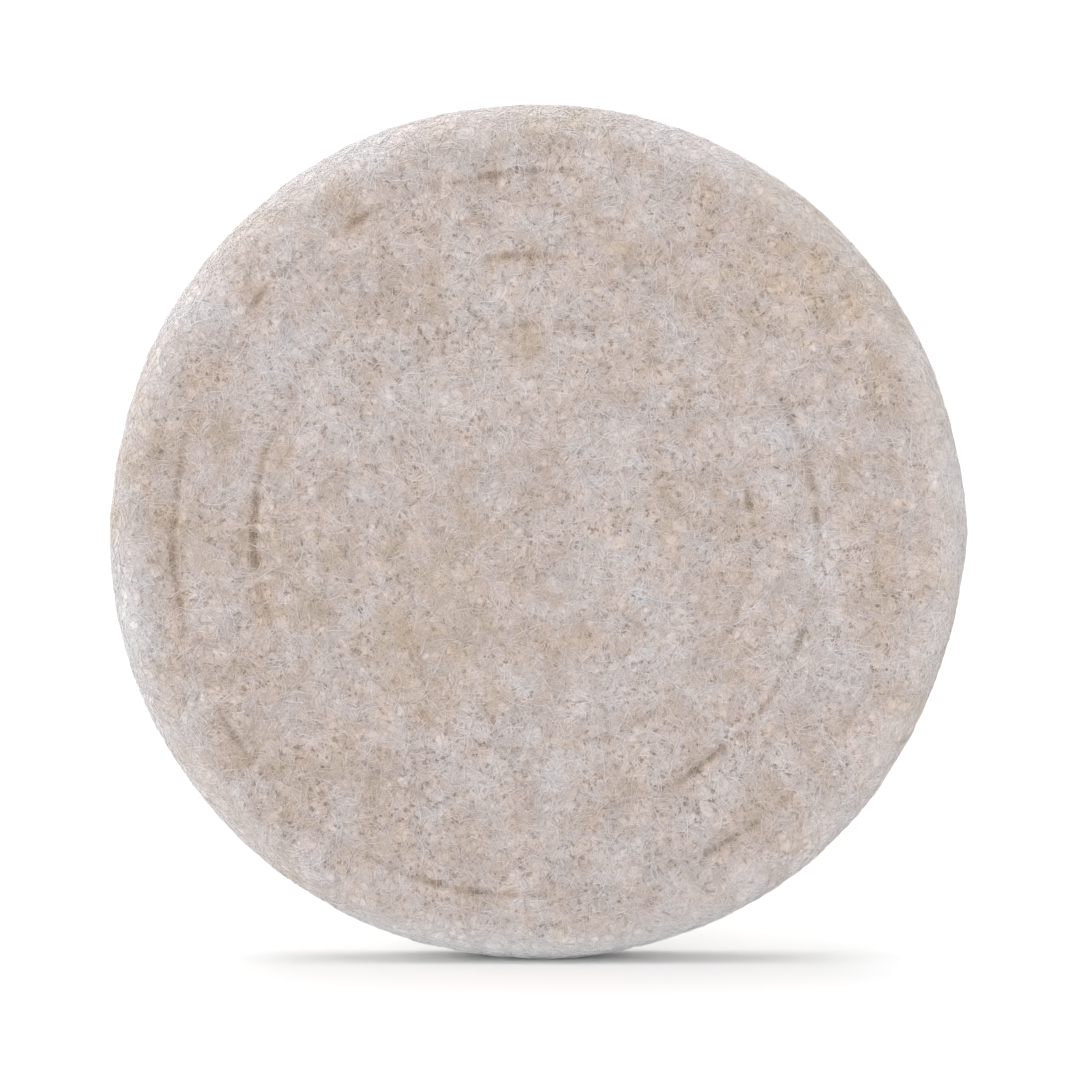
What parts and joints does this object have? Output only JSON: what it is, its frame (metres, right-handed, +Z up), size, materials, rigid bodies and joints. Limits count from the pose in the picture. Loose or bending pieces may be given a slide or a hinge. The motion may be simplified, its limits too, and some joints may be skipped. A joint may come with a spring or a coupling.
{
  "type": "felt polishing wheel",
  "caption": "Round felt polishing wheel: a soft napped face ply sewn in concentric rows to a dense felt ply, with a loop-fabric back that grips a hook-faced plate.",
  "frame": {"origin": "centre of the wheel, half way through its thickness", "axes": "+Y is the wheel's axis of turning and points out of the loop back, so the napped working face looks along -Y; +Z is up as the wheel stands on its edge; +X is to the right as one looks at the working face"},
  "size_m": [0.1524, 0.014, 0.1524],
  "materials": {
    "napped_felt": "matt, napped coarse wool felt in cream, grey-white and beige",
    "dense_felt": "matt, dense pressed wool felt",
    "sewing_thread": "matt, waxed twisted thread",
    "adhesive": "matt, clear yellowish film",
    "loop_fabric": "brushed knitted nylon loops, slight sheen"
  },
  "bodies": {
    "root": {"face_felt": "napped_felt", "base_felt": "dense_felt", "needle_thread_inner": "sewing_thread", "needle_thread_middle": "sewing_thread", "needle_thread_outer": "sewing_thread", "bobbin_thread_inner": "sewing_thread", "bobbin_thread_middle": "sewing_thread", "bobbin_thread_outer": "sewing_thread", "adhesive_film": "adhesive", "loop_backing": "loop_fabric"}
  },
  "joints": []
}
